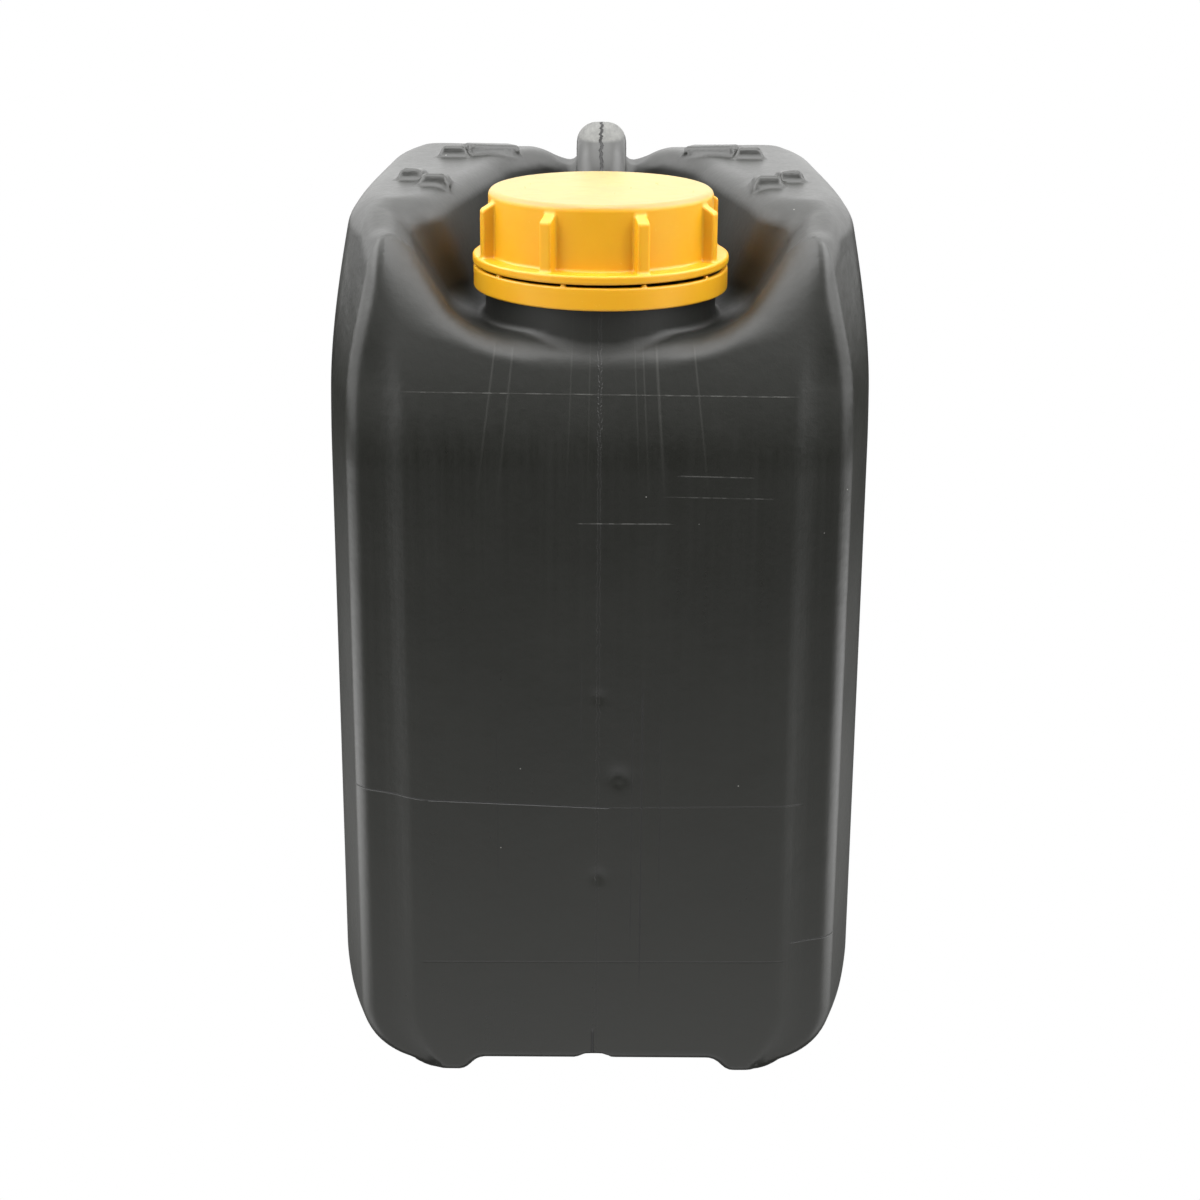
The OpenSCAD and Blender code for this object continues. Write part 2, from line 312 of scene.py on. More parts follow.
# Stacking lugs on each shoulder: middle across, front, half width, length, turn in degrees
LUGS = [
    (49.5, NECK_Y + 27, 4.8, 13, 0),
    (57, NECK_Y + 38, 4.5, 13, 0),
    (47.5, NECK_Y + 86, 5, 14, 0),
    (45, NECK_Y + 92, 4.2, 20, 55),
]


def lug(x, y, z, centre_x, front_y, half_w, length, turn):
    """A low wedge on the shoulder, with a steep front face and a top that falls away to the back."""
    c = math.cos(math.radians(turn))
    s = math.sin(math.radians(turn))
    u = (x - centre_x) * c + (y - front_y) * s
    v = -(x - centre_x) * s + (y - front_y) * c
    h = z - SHOULDER_Z
    top = h - LUG_H * (1 - 0.5 * np.clip(v / length, 0, 1))
    sides = np.abs(u) - half_w + LUG_SIDE_SLOPE * np.maximum(h, 0)
    front = -v + LUG_FRONT_SLOPE * np.maximum(h, 0)
    back = v - length
    block = cut(cut(sides, front, 1.0), top, 1.1)
    return soft_max(block, back, 1)


def lugs(x, y, z):
    """Stacking lugs on the shoulders, the same on the left and the right."""
    return np.minimum.reduce([lug(np.abs(x), y, z, *sizes) for sizes in LUGS])


def collar(x, y, z):
    """The plain lower part of the neck."""
    out, _ = around_neck(x, y)
    post = cut(out - COLLAR_R, z - COLLAR_TOP, 0.8)
    return np.maximum(post, FLOOR_Z - 6 - z)


def can_shape(x, y, z):
    """The can without its small details. Its inside follows this shape."""
    tower = smoothstep((np.abs(x) - 36) / 20) * smoothstep((NECK_Y + 3 - y) / 18)
    edge_r = mix(BACK_EDGE_R, BOWL_EDGE_R, smoothstep((NECK_Y + 25 - y) / 30))
    edge_r = mix(edge_r, LIP_R, smoothstep((NECK_Y - 15 - y) / 15))
    edge_r = mix(edge_r, TOWER_EDGE_R, tower)
    body = cut(envelope(x, y, z), -recess(x, y, z), edge_r)
    body = cut(body, -back_notch(x, y, z), 4)
    body = join(body, handle(x, y, z), 4)
    return join(body, collar(x, y, z), 2.0)


# Dents in the front panel: middle across and up, radius, depth
FRONT_DENTS = [
    (6.2, 99, 2.6, 1.1),
    (0.4, 67, 2.2, 0.8),
    (0.2, 124, 1.8, 0.5),
]
SHOULDER_DENT_X = 50
SHOULDER_DENT_Y = NECK_Y + 44
SHOULDER_DENT_R = 7.0
SHOULDER_DENT_DEPTH = 0.5


def dents(x, y, z):
    """How deep the dents are at each place: small ones in the front panel, a shallow one on each shoulder."""
    depth = np.zeros_like(x)
    for centre_x, centre_z, radius, deep in FRONT_DENTS:
        away2 = ((x - centre_x) ** 2 + (z - centre_z) ** 2) / radius ** 2
        depth += deep * np.exp(-away2)
    depth = np.where(y < 0, depth, 0)
    for side in (-1, 1):
        away2 = ((x - side * SHOULDER_DENT_X) ** 2 + (y - SHOULDER_DENT_Y) ** 2) / SHOULDER_DENT_R ** 2
        depth += np.where(z > SHOULDER_Z - 4, SHOULDER_DENT_DEPTH * np.exp(-away2 ** 2), 0)
    return depth


def can_field(x, y, z):
    """The whole can: the shape with its pinched seam, lugs and dents outside, hollow inside."""
    shape = can_shape(x, y, z)
    pinch = rounded_box(x - PINCH_X, z - UNDER_Z + 5, PINCH_HALF_W, 7, 3)
    outside = cut(shape, -pinch, 1.5)
    outside = join(outside, lugs(x, y, z), 1.4) + dents(x, y, z)
    out, _ = around_neck(x, y)
    bore = np.maximum(out - BORE_R - 2, FLOOR_Z - 10 - z)
    return np.maximum(np.maximum(outside, -shape - WALL), -bore)


# ---------------------------------------------------------------- fields of the neck and the closure

def helix(azimuth, z, start_z, turns, half_w, run_out=0.12):
    """How much of a thread's height stands at each place, from 0 to 1."""
    turn = azimuth / (2 * math.pi)
    level = (z - start_z) / PITCH - turn
    nearest = np.round(level)
    travelled = nearest + turn
    off = np.abs(level - nearest) * PITCH
    ends = smoothstep(travelled / run_out + 0.5) * smoothstep((turns - travelled) / run_out + 0.5)
    return ends * smoothstep((half_w - off) / 0.9 + 0.5)


def neck_field(x, y, z):
    """The neck above the collar: thread, snap bead and rim."""
    out, azimuth = around_neck(x, y)
    thread = helix(azimuth, z, THREAD_START_Z, THREAD_TURNS, 1.0)
    wall = cut(out - THREAD_ROOT_R - (THREAD_R - THREAD_ROOT_R) * thread, z - RIM_Z, 0.7)
    bead = rounded_box(out, z - COLLAR_TOP + 0.6, COLLAR_R + 1.0, 1.3, 0.8)
    wall = join(wall, bead, 0.8)
    tube = cut(wall, BORE_R - out, 0.7)
    return np.maximum(tube, FLOOR_Z + 1 - z)


def cap_field(x, y, z):
    """Skirt, grip ribs, flange, and the thread inside."""
    out, azimuth = around_neck(x, y)
    skirt_r = SKIRT_R + 0.012 * (CAP_TOP - z)
    skirt = cut(out - skirt_r, z - CAP_TOP, CAP_EDGE_R)
    off = sector(azimuth, RIB_COUNT, RIB_PHASE)
    sideways = out * np.sin(off)
    outward = out * np.cos(off)
    rib_top = CAP_TOP - 2.6 - (outward - SKIRT_R) * RIB_DROP / (RIB_R - SKIRT_R)
    rib = rounded_box(sideways, outward - SKIRT_R, RIB_HALF_W, RIB_R - SKIRT_R, 0.7)
    rib = cut(rib, (z - rib_top) * 0.72, 0.5)
    rib = np.maximum(rib, FLANGE_Z + 1 - z)
    flange = rounded_box(out, z - FLANGE_Z - FLANGE_T / 2, FLANGE_R, FLANGE_T / 2, 0.7)
    solid = join(join(skirt, rib, 0.6), flange, 0.9)
    thread = helix(azimuth, z, THREAD_START_Z + PITCH / 2, THREAD_TURNS - 0.3, 0.9)
    hollow = cut(out - THREAD_R - 0.45 + 1.3 * thread, z - CAP_TOP + 2.1, 0.5)
    return np.maximum(cut(solid, -hollow, 0.4), FLANGE_Z - z)


def ring_field(x, y, z):
    """The tamper ring, sagging a little to the right, with its snap lip and the broken bridges."""
    out, azimuth = around_neck(x, y)
    low = RING_Z - 0.006 * (x + RING_R)
    band = rounded_box(out - RING_R + RING_T / 2, z - low - RING_H / 2, RING_T / 2, RING_H / 2, 0.6)
    lip = rounded_box(out - RING_R + RING_T, z - low - 1.5, 1.1, 0.6, 0.4)
    band = join(band, lip, 0.4)
    off = sector(azimuth, BRIDGE_COUNT, RIB_PHASE)
    sideways = out * np.sin(off)
    bridge = rounded_box(sideways, out - RING_R + RING_T / 2, 0.7, 0.5, 0.3)
    bridge = cut(bridge, np.abs(z - low - RING_H) - 0.75, 0.3)
    return join(band, bridge, 0.3)


def gasket_field(x, y, z):
    """The flat liner disc."""
    out, _ = around_neck(x, y)
    middle = (gasket_low.z + gasket_high.z) / 2
    half = (gasket_high.z - gasket_low.z) / 2
    return rounded_box(out, z - middle, gasket_high.x, half, 0.35)


# ---------------------------------------------------------------- meshes from fields

def grid_axis(low, high, step):
    """Evenly spaced places from a step before low to at least a step after high."""
    count = int(math.ceil((high - low) / step)) + 3
    return low - step + step * np.arange(count)


def sample(field, xs, ys, zs):
    """The field's values on a grid, worked out one slab at a time to save memory."""
    values = np.empty((len(xs), len(ys), len(zs)), np.float32)
    x, y = np.meshgrid(xs, ys, indexing="ij")
    for k, z in enumerate(zs):
        values[:, :, k] = field(x, y, np.full_like(x, z))
    return values


def edge_quads(values, ids, axis):
    """Quads around the grid edges along one axis where the field changes sign."""
    low = [slice(1, -1)] * 3
    high = [slice(1, -1)] * 3
    low[axis] = slice(0, -1)
    high[axis] = slice(1, None)
    inside_low = values[tuple(low)] < 0
    inside_high = values[tuple(high)] < 0
    at = np.argwhere(inside_low != inside_high)
    flipped = inside_high[tuple(at.T)]
    for other in range(3):
        if other != axis:
            at[:, other] += 1
    b = (axis + 1) % 3
    c = (axis + 2) % 3
    corners = []
    for step_b, step_c in ((0, 0), (1, 0), (1, 1), (0, 1)):
        cell = at.copy()
        cell[:, b] -= step_b
        cell[:, c] -= step_c
        corners.append(ids[tuple(cell.T)])
    quads = np.stack(corners, axis=1)
    quads[flipped] = quads[flipped][:, ::-1]
    return quads


def surface_nets(values, low, step):
    """One point in each grid cell that the surface crosses, joined into quads."""
    shape = tuple(n - 1 for n in values.shape)
    total = np.zeros(shape + (3,), np.float32)
    count = np.zeros(shape, np.float32)
    for axis in range(3):
        for step_b in (0, 1):
            for step_c in (0, 1):
                near = [None] * 3
                near[axis] = 0
                near[(axis + 1) % 3] = step_b
                near[(axis + 2) % 3] = step_c
                far = list(near)
                far[axis] = 1
                v0 = values[tuple(slice(o, o + n) for o, n in zip(near, shape))]
                v1 = values[tuple(slice(o, o + n) for o, n in zip(far, shape))]
                crossed = (v0 < 0) != (v1 < 0)
                share = v0[crossed] / (v0[crossed] - v1[crossed])
                for other in range(3):
                    total[..., other][crossed] += share if other == axis else near[other]
                count[crossed] += 1
    used = count > 0
    ids = np.full(shape, -1, np.int64)
    ids[used] = np.arange(used.sum())
    cells = np.argwhere(used)
    points = low + (cells + total[used] / count[used][:, None]) * step
    quads = np.concatenate([edge_quads(values, ids, axis) for axis in range(3)])
    return points, quads


def gradient(field, points, reach):
    """The direction in which the field grows fastest, at each point."""
    slopes = []
    for axis in range(3):
        shift = np.zeros(3)
        shift[axis] = reach
        ahead = field(*(points + shift).T)
        behind = field(*(points - shift).T)
        slopes.append((ahead - behind) / (2 * reach))
    return np.stack(slopes, axis=1)


def surface_of(name, field, low, high, step):
    """A closed mesh object on the surface where the field is zero."""
    axes = [grid_axis(low[i], high[i], step) for i in range(3)]
    values = sample(field, *axes)
    origin = np.array([axis[0] for axis in axes])
    points, quads = surface_nets(values, origin, step)
    for _ in range(3):
        slope = gradient(field, points, 0.05)
        size2 = np.maximum((slope ** 2).sum(axis=1), 0.2)
        move = field(*points.T) / size2
        move = np.clip(move, -0.5 * step, 0.5 * step)
        points = points - slope * move[:, None]
    slope = gradient(field, points, 0.12)
    slope /= np.maximum(np.linalg.norm(slope, axis=1), 1e-6)[:, None]
    return mesh_object(name, points * MM, quads, slope)


def mesh_object(name, points, quads, normals=None):
    """An object from points in metres and quads, smooth, with normals of its own where they are given."""
    mesh = bpy.data.meshes.new(name)
    mesh.vertices.add(len(points))
    mesh.vertices.foreach_set("co", np.asarray(points, np.float32).ravel())
    mesh.loops.add(quads.size)
    mesh.loops.foreach_set("vertex_index", quads.astype(np.int32).ravel())
    mesh.polygons.add(len(quads))
    mesh.polygons.foreach_set("loop_start", np.arange(0, quads.size, 4, dtype=np.int32))
    mesh.update(calc_edges=True)
    mesh.validate()
    mesh.shade_smooth()
    if normals is not None:
        mesh.normals_split_custom_set_from_vertices(normals)
    obj = bpy.data.objects.new(name, mesh)
    bpy.context.scene.collection.objects.link(obj)
    return obj


# ---------------------------------------------------------------- material tools

class Nodes:
    """Builds a shader from small steps. Numbers can stand wherever an output can."""

    def __init__(self, tree):
        self.tree = tree

    def add(self, kind, settings=None, **inputs):
        """A node of a kind, with its settings and the values of its inputs."""
        node = self.tree.nodes.new(kind)
        for name, value in (settings or {}).items():
            setattr(node, name, value)
        for name, value in inputs.items():
            self.plug(node.inputs[name.replace("_", " ")], value)
        return node

    def plug(self, socket, value):
        """Joins an output to a socket, or sets the socket's number."""
        if isinstance(value, bpy.types.NodeSocket):
            self.tree.links.new(value, socket)
        else:
            socket.default_value = value

    def math(self, operation, *values):
        node = self.tree.nodes.new("ShaderNodeMath")
        node.operation = operation
        for socket, value in zip(node.inputs, values):
            self.plug(socket, value)
        return node.outputs[0]

    def total(self, *values):
        result = values[0]
        for value in values[1:]:
            result = self.math("ADD", result, value)
        return result

    def times(self, *values):
        result = values[0]
        for value in values[1:]:
            result = self.math("MULTIPLY", result, value)
        return result

    def ramp(self, value, start, end, low=0.0, high=1.0):
        """A smooth change from low to high while the value goes from start to end."""
        node = self.add("ShaderNodeMapRange", {"interpolation_type": "SMOOTHSTEP"})
        for socket, number in zip(node.inputs, (value, start, end, low, high)):
            self.plug(socket, number)
        return node.outputs[0]

    def blend(self, share, first, second):
        """A colour between two colours."""
        node = self.add("ShaderNodeMix", {"data_type": "RGBA"})
        for index, value in ((0, share), (6, first), (7, second)):
            if isinstance(value, tuple):
                value = (*value, 1)
            self.plug(node.inputs[index], value)
        return node.outputs[2]

    def place(self):
        """Position on the piece in millimetres, whole and as x, y and z."""
        position = self.add("ShaderNodeTexCoord").outputs["Object"]
        scaled = self.add("ShaderNodeVectorMath", {"operation": "SCALE"})
        self.plug(scaled.inputs[0], position)
        scaled.inputs["Scale"].default_value = 1 / MM
        split = self.add("ShaderNodeSeparateXYZ", Vector=scaled.outputs[0])
        return scaled.outputs[0], split.outputs

    def stretch(self, vector, sizes):
        """A position scaled by its own amount along x, y and z."""
        node = self.add("ShaderNodeVectorMath", {"operation": "MULTIPLY"})
        self.plug(node.inputs[0], vector)
        node.inputs[1].default_value = sizes
        return node.outputs[0]

    def noise(self, vector, size, detail=2.0, roughness=0.5):
        """Noise from 0 to 1 with features of a size in millimetres."""
        return self.add("ShaderNodeTexNoise", Vector=vector, Scale=1 / size, Detail=detail,
                        Roughness=roughness).outputs[0]


def new_material(name):
    """A material, the tool that builds its nodes, and its main shader."""
    material = bpy.data.materials.new(name)
    material.use_nodes = True
    nodes = Nodes(material.node_tree)
    return material, nodes, material.node_tree.nodes["Principled BSDF"]


# ---------------------------------------------------------------- materials

def hairline(nodes, place, x_from, x_to, z_from, z_to, half_w):
    """A fine line across the front from one height to another, 1 on the line and 0 away from it."""
    x, _, z = place
    climb = (z_to - z_from) / (x_to - x_from)
    level = nodes.total(z, nodes.times(x, -climb), x_from * climb - z_from)
    near = nodes.ramp(nodes.math("ABSOLUTE", level), half_w, 0.0)
    after = nodes.ramp(x, x_from - 1.0, x_from + 1.5)
    before = nodes.ramp(x, x_to + 1.0, x_to - 1.5)
    return nodes.times(near, after, before)


# Fine lines across the front: x at each end, height at each end, half width, strength
LIGHT_LINES = [
    (-54, 54, 212.2, 211.4, 0.32, 0.9),
    (-70, -57, 213.9, 212.6, 0.25, 0.5),
    (58, 70, 213.0, 213.9, 0.25, 0.5),
    (43, 53, 218.8, 218.8, 0.25, 0.4),
    (22, 42.5, 189.8, 189.4, 0.22, 0.6),
    (18, 48, 183.8, 183.3, 0.22, 0.5),
    (-6, 20.5, 175.9, 175.9, 0.25, 0.8),
]
DARK_LINES = [
    (-72, -50, 94.5, 91.2, 0.35, 0.8),
    (-50, 4, 91.2, 89.0, 0.35, 0.8),
    (4, 60, 89.0, 89.8, 0.35, 0.35),
    (-52, 56, 38.1, 38.6, 0.4, 0.35),
    (58, 78, 44.5, 47.6, 0.35, 0.7),
]

# Die streaks that spread downwards from the lip: distance from the middle at the lip, half width, strength
FAN_RATE = 0.0045
FAN_STREAKS = [
    (-28.5, 0.45, 0.6),
    (-23.6, 0.5, 0.5),
    (-7.6, 0.35, 0.35),
    (-2.7, 0.3, 0.35),
    (9.4, 0.35, 0.4),
    (11.6, 0.4, 0.5),
    (15.2, 0.6, 0.8),
    (25.5, 0.45, 0.6),
]
# Dark die streaks lower down: distance from the middle, lower end, upper end, half width, strength
LOW_STREAKS = [
    (10.0, 38, 128, 0.35, 0.5),
    (12.8, 26, 134, 0.45, 0.8),
    (18.2, 58, 124, 0.35, 0.45),
    (-4.8, 95, 140, 0.3, 0.4),
    (-29.0, 60, 118, 0.35, 0.35),
]


GROOVE_BLACK = (0.002, 0.002, 0.002)


def marks(nodes, place, lines):
    """All lines of a list together."""
    found = 0.0
    for x_from, x_to, z_from, z_to, half_w, strength in lines:
        line = hairline(nodes, place, x_from, x_to, z_from, z_to, half_w)
        found = nodes.math("MAXIMUM", found, nodes.times(line, strength))
    return found


def black_polyethylene():
    """Blow moulded black plastic: die lines, fine grain, hairline scratches, scuffs and dust, and a handle
    top painted lighter, partly for wear and partly as a painted highlight.
    """
    material, nodes, shader = new_material("black_polyethylene")
    spot, place = nodes.place()
    x, y, z = place

    cloud = nodes.noise(spot, 45, 3)
    grain = nodes.noise(spot, 1.6, 3, 0.6)
    fine = nodes.noise(spot, 0.5, 2)
    streak = nodes.noise(nodes.stretch(spot, (1, 1, 0.02)), 2.4, 3, 0.6)
    front = nodes.ramp(y, -HALF_D + 6, -HALF_D + 2)
    upright = nodes.times(front, nodes.ramp(z, FLOOR_Z, FLOOR_Z - 8))

    inside_bowl = nodes.ramp(y, -HALF_D + 2, -HALF_D + 10)
    off_middle = nodes.math("ABSOLUTE", x)
    bowl = nodes.times(inside_bowl, nodes.ramp(z, SHOULDER_Z + 1, SHOULDER_Z - 3),
                       nodes.ramp(off_middle, 62.0, 54.0))

    light_line = nodes.times(front, marks(nodes, place, LIGHT_LINES))
    dark_line = nodes.times(front, marks(nodes, place, DARK_LINES))
    broken = nodes.ramp(nodes.noise(spot, 2.2, 2), 0.35, 0.6)
    light_line = nodes.times(light_line, nodes.math("MAXIMUM", broken, 0.35))

    fan = nodes.math("DIVIDE", x, nodes.total(1 + FAN_RATE * FLOOR_Z, nodes.times(z, -FAN_RATE)))
    streaks = 0.0
    for centre, half_w, strength in FAN_STREAKS:
        off = nodes.math("ABSOLUTE", nodes.total(fan, -centre))
        streaks = nodes.math("MAXIMUM", streaks, nodes.times(nodes.ramp(off, half_w, 0.0), strength))
    low_streaks = 0.0
    for centre, low, high, half_w, strength in LOW_STREAKS:
        off = nodes.math("ABSOLUTE", nodes.total(x, -centre))
        ends = nodes.times(nodes.ramp(z, low, low + 15.0), nodes.ramp(z, high, high - 15.0), strength)
        low_streaks = nodes.math("MAXIMUM", low_streaks, nodes.times(nodes.ramp(off, half_w, 0.0), ends))
    low_streaks = nodes.times(front, low_streaks)
    slit = nodes.times(front, nodes.ramp(nodes.math("ABSOLUTE", nodes.total(x, 1.1)), 0.5, 0.25),
                       nodes.ramp(z, 16.0, 14.0))
    streaks = nodes.times(streaks, nodes.ramp(y, -HALF_D + 12, -HALF_D + 6),
                          nodes.ramp(z, FLOOR_Z - 48, FLOOR_Z - 8))

    wander = nodes.noise(nodes.stretch(spot, (0, 1, 1)), 3.0, 3, 0.7)
    from_seam = nodes.math("ABSOLUTE", nodes.total(x, nodes.times(wander, 2.4), -1.2))
    on_handle = nodes.ramp(z, SHOULDER_Z + 1, SHOULDER_Z + 3)
    seam = nodes.times(nodes.ramp(from_seam, 0.55, 0.25), nodes.total(nodes.times(on_handle, 0.85), 0.15))
    groove = nodes.math("MAXIMUM", seam, slit)
    # Painted highlight with wear: the top band of the handle is painted lighter, partly real scuffing and
    # partly the glint its flat top catches at a grazing angle
    wear_and_top_highlight = nodes.ramp(z, HANDLE_TOP - 4.6, HANDLE_TOP - 3.6)
    top_band_grain = nodes.noise(nodes.stretch(spot, (1, 0.25, 1)), 2.0, 4, 0.7)

    dust = nodes.add("ShaderNodeTexVoronoi", {"feature": "F1"}, Vector=spot, Scale=1 / 7)
    dust_size = nodes.ramp(dust.outputs["Distance"], 0.035, 0.015)
    chosen = nodes.add("ShaderNodeSeparateColor", Color=dust.outputs["Color"])
    dust_mask = nodes.times(dust_size, nodes.ramp(chosen.outputs[0], 0.78, 0.82))

    scratch_spot = nodes.stretch(spot, (1, 1, 0.12))
    scratch = nodes.ramp(nodes.noise(scratch_spot, 3.5, 4, 0.75), 0.70, 0.76)
    scuffed = nodes.ramp(nodes.noise(spot, 18, 2), 0.56, 0.7)
    scuff = nodes.times(scratch, scuffed, 0.35)

    base = nodes.blend(cloud, (0.0066, 0.0070, 0.0052), (0.0094, 0.0098, 0.0074))
    base = nodes.blend(nodes.times(scuff, 0.5), base, (0.045, 0.045, 0.042))
    base = nodes.blend(nodes.times(light_line, 0.55), base, (0.16, 0.16, 0.15))
    base = nodes.blend(nodes.times(streaks, 0.5), base, (0.06, 0.06, 0.055))
    # The handle's top band painted lighter: wear plus a painted highlight
    base = nodes.blend(nodes.times(wear_and_top_highlight, top_band_grain, 0.9), base, (0.19, 0.19, 0.178))
    base = nodes.blend(nodes.math("MAXIMUM", groove, low_streaks), base, GROOVE_BLACK)
    base = nodes.blend(nodes.times(dark_line, 0.9), base, GROOVE_BLACK)
    base = nodes.blend(nodes.times(dust_mask, 0.7), base, (0.30, 0.30, 0.28))
    nodes.plug(shader.inputs["Base Color"], base)

    rough = nodes.total(
        0.34,
        nodes.times(nodes.math("SUBTRACT", cloud, 0.5), 0.16),
        nodes.times(nodes.math("SUBTRACT", streak, 0.5), nodes.times(upright, 0.22)),
        nodes.times(nodes.math("SUBTRACT", grain, 0.5), 0.12),
        nodes.times(scuff, 0.3),
        nodes.times(dark_line, 0.3),
        nodes.times(wear_and_top_highlight, 0.2),
        nodes.times(bowl, 0.16),
        nodes.times(nodes.math("MAXIMUM", seam, low_streaks), 0.3),
    )
    nodes.plug(shader.inputs["Roughness"], rough)
    nodes.plug(shader.inputs["IOR"], 1.52)

    height = nodes.total(
        nodes.times(grain, 0.05),
        nodes.times(fine, 0.010),
        nodes.times(nodes.noise(spot, 9, 2), 0.16),
        nodes.times(streak, nodes.times(upright, 0.05)),
        nodes.times(light_line, 0.10),
        nodes.times(dark_line, -0.35),
        nodes.times(scuff, -0.03),
        nodes.times(wear_and_top_highlight, top_band_grain, 0.10),
        nodes.times(streaks, 0.06),
        nodes.times(groove, -0.5),
        nodes.times(low_streaks, -0.08),
    )
    bump = nodes.add("ShaderNodeBump", Height=height, Strength=1.0, Distance=MM)
    nodes.plug(shader.inputs["Normal"], bump.outputs[0])
    return material


def yellow_polyethylene():
    """Satin yellow plastic that lets a little light through, with handling scratches and a faded top."""
    material, nodes, shader = new_material("yellow_polyethylene")
    spot, (_, _, z) = nodes.place()
    cloud = nodes.noise(spot, 14, 3)
    fine = nodes.noise(spot, 0.8, 3, 0.6)
    scratch = nodes.ramp(nodes.noise(nodes.stretch(spot, (1, 0.1, 1)), 1.2, 3, 0.7), 0.66, 0.74)
    base = nodes.blend(cloud, (0.65, 0.32, 0.008), (0.71, 0.36, 0.011))
    base = nodes.blend(nodes.times(scratch, 0.12), base, (0.95, 0.70, 0.25))
    faded = nodes.times(nodes.ramp(z, CAP_TOP - 1.6, CAP_TOP - 0.4), nodes.ramp(cloud, 0.2, 0.6, 0.75, 1.0))
    base = nodes.blend(faded, base, (0.29, 0.205, 0.047))
    nodes.plug(shader.inputs["Base Color"], base)
    rough = nodes.total(0.30, nodes.times(cloud, 0.10), nodes.times(scratch, 0.10))
    nodes.plug(shader.inputs["Roughness"], rough)
    nodes.plug(shader.inputs["IOR"], 1.5)
    nodes.plug(shader.inputs["Subsurface Weight"], 0.35)
    nodes.plug(shader.inputs["Subsurface Scale"], 0.0015)
    shader.inputs["Subsurface Radius"].default_value = (1.0, 0.5, 0.1)
    height = nodes.total(nodes.times(fine, 0.012), nodes.times(nodes.noise(spot, 5, 2), 0.10))
    bump = nodes.add("ShaderNodeBump", Height=height, Strength=1.0, Distance=MM)
    nodes.plug(shader.inputs["Normal"], bump.outputs[0])
    return material


def liner_foam():
    """White closed-cell foam."""
    material, nodes, shader = new_material("liner_foam")
    spot, _ = nodes.place()
    cells = nodes.noise(spot, 0.9, 3)
    base = nodes.blend(cells, (0.78, 0.78, 0.74), (0.88, 0.88, 0.85))
    nodes.plug(shader.inputs["Base Color"], base)
    nodes.plug(shader.inputs["Roughness"], nodes.total(0.6, nodes.times(cells, 0.2)))
    bump = nodes.add("ShaderNodeBump", Height=cells, Strength=0.5, Distance=0.1 * MM)
    nodes.plug(shader.inputs["Normal"], bump.outputs[0])
    return material


# How the light of the studio's floor fades away, in millimetres, and how bright its parts are
FLOOR_FADE = 480.0
FLOOR_FADE_BEHIND = 400.0
FRONT_POOL_LIGHT = 1.08
SIDE_POOL_LIGHT = 3.0
BACK_POOL_LIGHT = 0.2


def lit_floor():
    """A white table. The camera sees it evenly white; the can mirrors pools of light that fade away."""
    material, nodes, _ = new_material("studio_floor")
    _, (x, y, _) = nodes.place()
    tree = material.node_tree
    ahead = nodes.math("SUBTRACT", -HALF_D, y)
    aside = nodes.math("MAXIMUM", nodes.math("SUBTRACT", nodes.math("ABSOLUTE", x), RIDGE_X), 0.0)
    away = nodes.math("SQRT", nodes.total(nodes.times(ahead, ahead), nodes.times(aside, aside)))
    azimuth = nodes.times(nodes.math("ARCTAN2", aside, ahead), 180 / math.pi)
    near = nodes.math("EXPONENT", nodes.times(away, -1 / FLOOR_FADE))
    front = nodes.times(near, nodes.ramp(azimuth, 140.0, 80.0))
    pool = nodes.times(nodes.ramp(azimuth, 28.0, 80.0), nodes.ramp(azimuth, 150.0, 100.0),
                       nodes.ramp(away, 950.0, 350.0), nodes.ramp(away, -100.0, 250.0))
    near_back = nodes.math("EXPONENT", nodes.times(away, -1 / FLOOR_FADE_BEHIND))
    behind = nodes.times(near_back, nodes.ramp(azimuth, 90.0, 140.0))
    glow = nodes.total(nodes.times(front, FRONT_POOL_LIGHT), nodes.times(pool, SIDE_POOL_LIGHT),
                       nodes.times(behind, BACK_POOL_LIGHT))
    seen = nodes.add("ShaderNodeLightPath").outputs["Is Camera Ray"]
    strength = nodes.add("ShaderNodeMix", {"data_type": "FLOAT"})
    nodes.plug(strength.inputs[0], seen)
    nodes.plug(strength.inputs[2], glow)
    nodes.plug(strength.inputs[3], 1.0)
    light = nodes.add("ShaderNodeEmission", Strength=strength.outputs[0])
    output = tree.nodes["Material Output"]
    tree.links.new(light.outputs[0], output.inputs["Surface"])
    return material


# ---------------------------------------------------------------- pieces

MATERIALS = {
    "black_polyethylene": black_polyethylene(),
    "yellow_polyethylene": yellow_polyethylene(),
    "liner_foam": liner_foam(),
}


def add_piece(name, field, low, high, step, slot, body, node=None):
    """Meshes a field, gives it its material and ties it to a body of the frame."""
    step = step
    piece = surface_of(name, field, low, high, step)
    piece.data.materials.append(MATERIALS[slot])
    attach(piece, body)
    if node:
        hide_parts(node)
    return piece


def around(low, high, margin):
    """A box grown by a margin."""
    return [c - margin for c in low], [c + margin for c in high]


neck_reach = COLLAR_R + 1.5
neck_low = (-neck_reach, NECK_Y - neck_reach, FLOOR_Z)
neck_high = (neck_reach, NECK_Y + neck_reach, RIM_Z)

add_piece("can_shell", can_field, can_low, can_high, 1.25, "black_polyethylene", "can", "can_body")
add_piece("neck_finish", neck_field, neck_low, neck_high, 0.6, "black_polyethylene", "can")
add_piece("cap_shell", cap_field, cap_low, cap_high, 0.5, "yellow_polyethylene", "cap", "screw_cap")
add_piece("break_ring", ring_field, *around(ring_low, ring_high, 1), 0.45, "yellow_polyethylene",
          "ring", "tamper_ring")
add_piece("liner_disc", gasket_field, gasket_low, gasket_high, 0.6, "liner_foam", "liner", "sealing_gasket")


# ---------------------------------------------------------------- studio

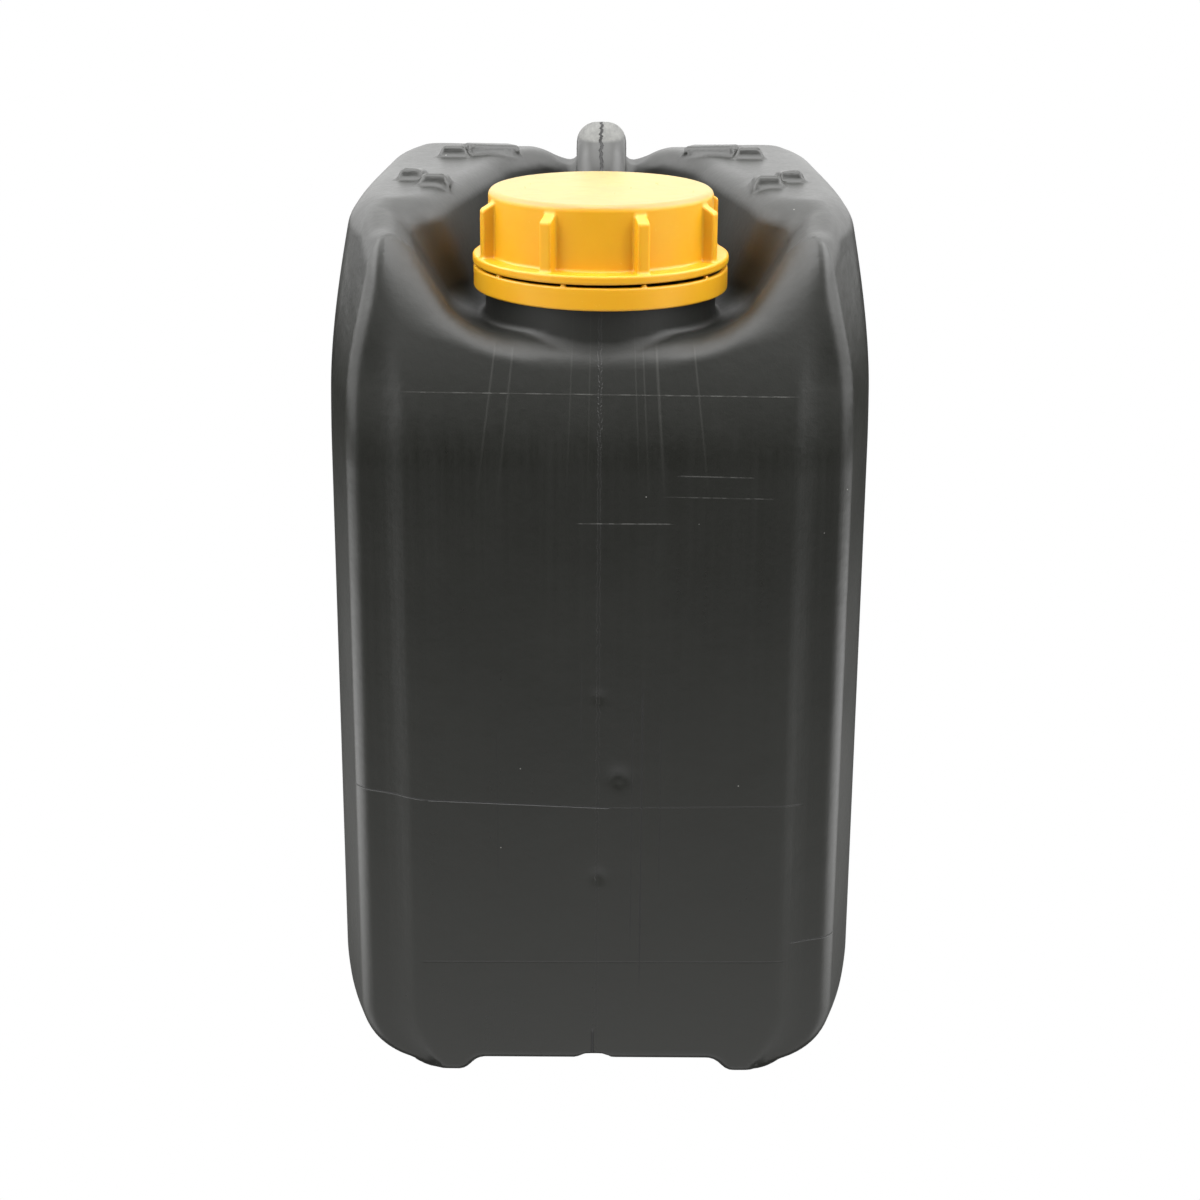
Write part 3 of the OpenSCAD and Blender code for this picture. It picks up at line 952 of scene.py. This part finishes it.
FLOOR_HALF = 6000
CAMERA_X = 0.4
CAMERA_AWAY = 573.3
CAMERA_Z = 358.7
CAMERA_PITCH = math.radians(19.7)
CAMERA_ROLL = math.radians(0.35)
CAMERA_LENS = 64.95
CAMERA_SENSOR = 36

# Brightness of each part of the studio
AMBIENT = 0.25
BACK_LOW = 1.2
BACK_HIGH = 2.0
BOX_LOW = 2.4
BOX_HIGH = 6.2
KEY_LIGHT = 0.5
DOME_LIGHT = 5.6


def add_floor():
    """A flat square that the can stands on."""
    size = FLOOR_HALF * MM
    points = np.array([(-size, -size, 0), (size, -size, 0), (size, size, 0), (-size, size, 0)])
    floor = mesh_object("studio_floor", points, np.array([[0, 1, 2, 3]]))
    floor.data.materials.append(lit_floor())


def add_camera():
    """The camera stands in front of the can and looks down on it a little."""
    data = bpy.data.cameras.new("camera")
    data.sensor_width = CAMERA_SENSOR
    data.lens = CAMERA_LENS
    obj = bpy.data.objects.new("camera", data)
    obj.location = Vector((CAMERA_X, -HALF_D - CAMERA_AWAY, CAMERA_Z)) * MM
    obj.rotation_euler = Euler((math.radians(90) - CAMERA_PITCH, 0, 0), "XYZ")
    obj.rotation_euler.rotate_axis("Z", CAMERA_ROLL)
    bpy.context.scene.collection.objects.link(obj)
    bpy.context.scene.camera = obj


def set_world():
    """Soft studio light by direction: a bright back wall, a soft box on each side, a light overhead and a
    dim front. The camera itself sees plain white."""
    world = bpy.data.worlds.new("studio")
    world.use_nodes = True
    nodes = Nodes(world.node_tree)
    direction = nodes.add("ShaderNodeTexCoord").outputs["Generated"]
    split = nodes.add("ShaderNodeSeparateXYZ", Vector=direction)
    dx, dy, dz = split.outputs
    elevation = nodes.times(nodes.math("ARCSINE", dz), 180 / math.pi)
    from_front = nodes.math("ARCTAN2", nodes.math("ABSOLUTE", dx), nodes.times(dy, -1.0))
    azimuth = nodes.times(from_front, 180 / math.pi)
    back = nodes.ramp(azimuth, 120.0, 145.0)
    wall = nodes.times(back, nodes.ramp(elevation, 75.0, 50.0))
    wall_light = nodes.ramp(elevation, 8.0, 30.0, BACK_LOW, BACK_HIGH)
    box = nodes.times(nodes.ramp(azimuth, 25.0, 65.0), nodes.ramp(azimuth, 140.0, 120.0),
                      nodes.ramp(elevation, 65.0, 50.0), nodes.ramp(elevation, -8.0, 8.0))
    box_light = nodes.ramp(elevation, 15.0, 42.0, BOX_LOW, BOX_HIGH)
    dome = nodes.ramp(elevation, 50.0, 74.0)
    key = nodes.times(nodes.ramp(azimuth, 75.0, 45.0), nodes.ramp(elevation, 0.0, 20.0),
                      nodes.ramp(elevation, 60.0, 35.0))
    strength = nodes.total(AMBIENT, nodes.times(wall, wall_light), nodes.times(box, box_light),
                           nodes.times(key, KEY_LIGHT), nodes.times(dome, DOME_LIGHT))
    tree = world.node_tree
    tree.nodes["Background"].inputs["Color"].default_value = (1, 1, 1, 1)
    seen = nodes.add("ShaderNodeLightPath").outputs["Is Camera Ray"]
    strength = nodes.total(nodes.times(strength, nodes.math("SUBTRACT", 1.0, seen)), seen)
    nodes.plug(tree.nodes["Background"].inputs["Strength"], strength)
    bpy.context.scene.world = world


add_floor()
add_camera()
set_world()
bpy.context.scene.view_settings.view_transform = "Standard"
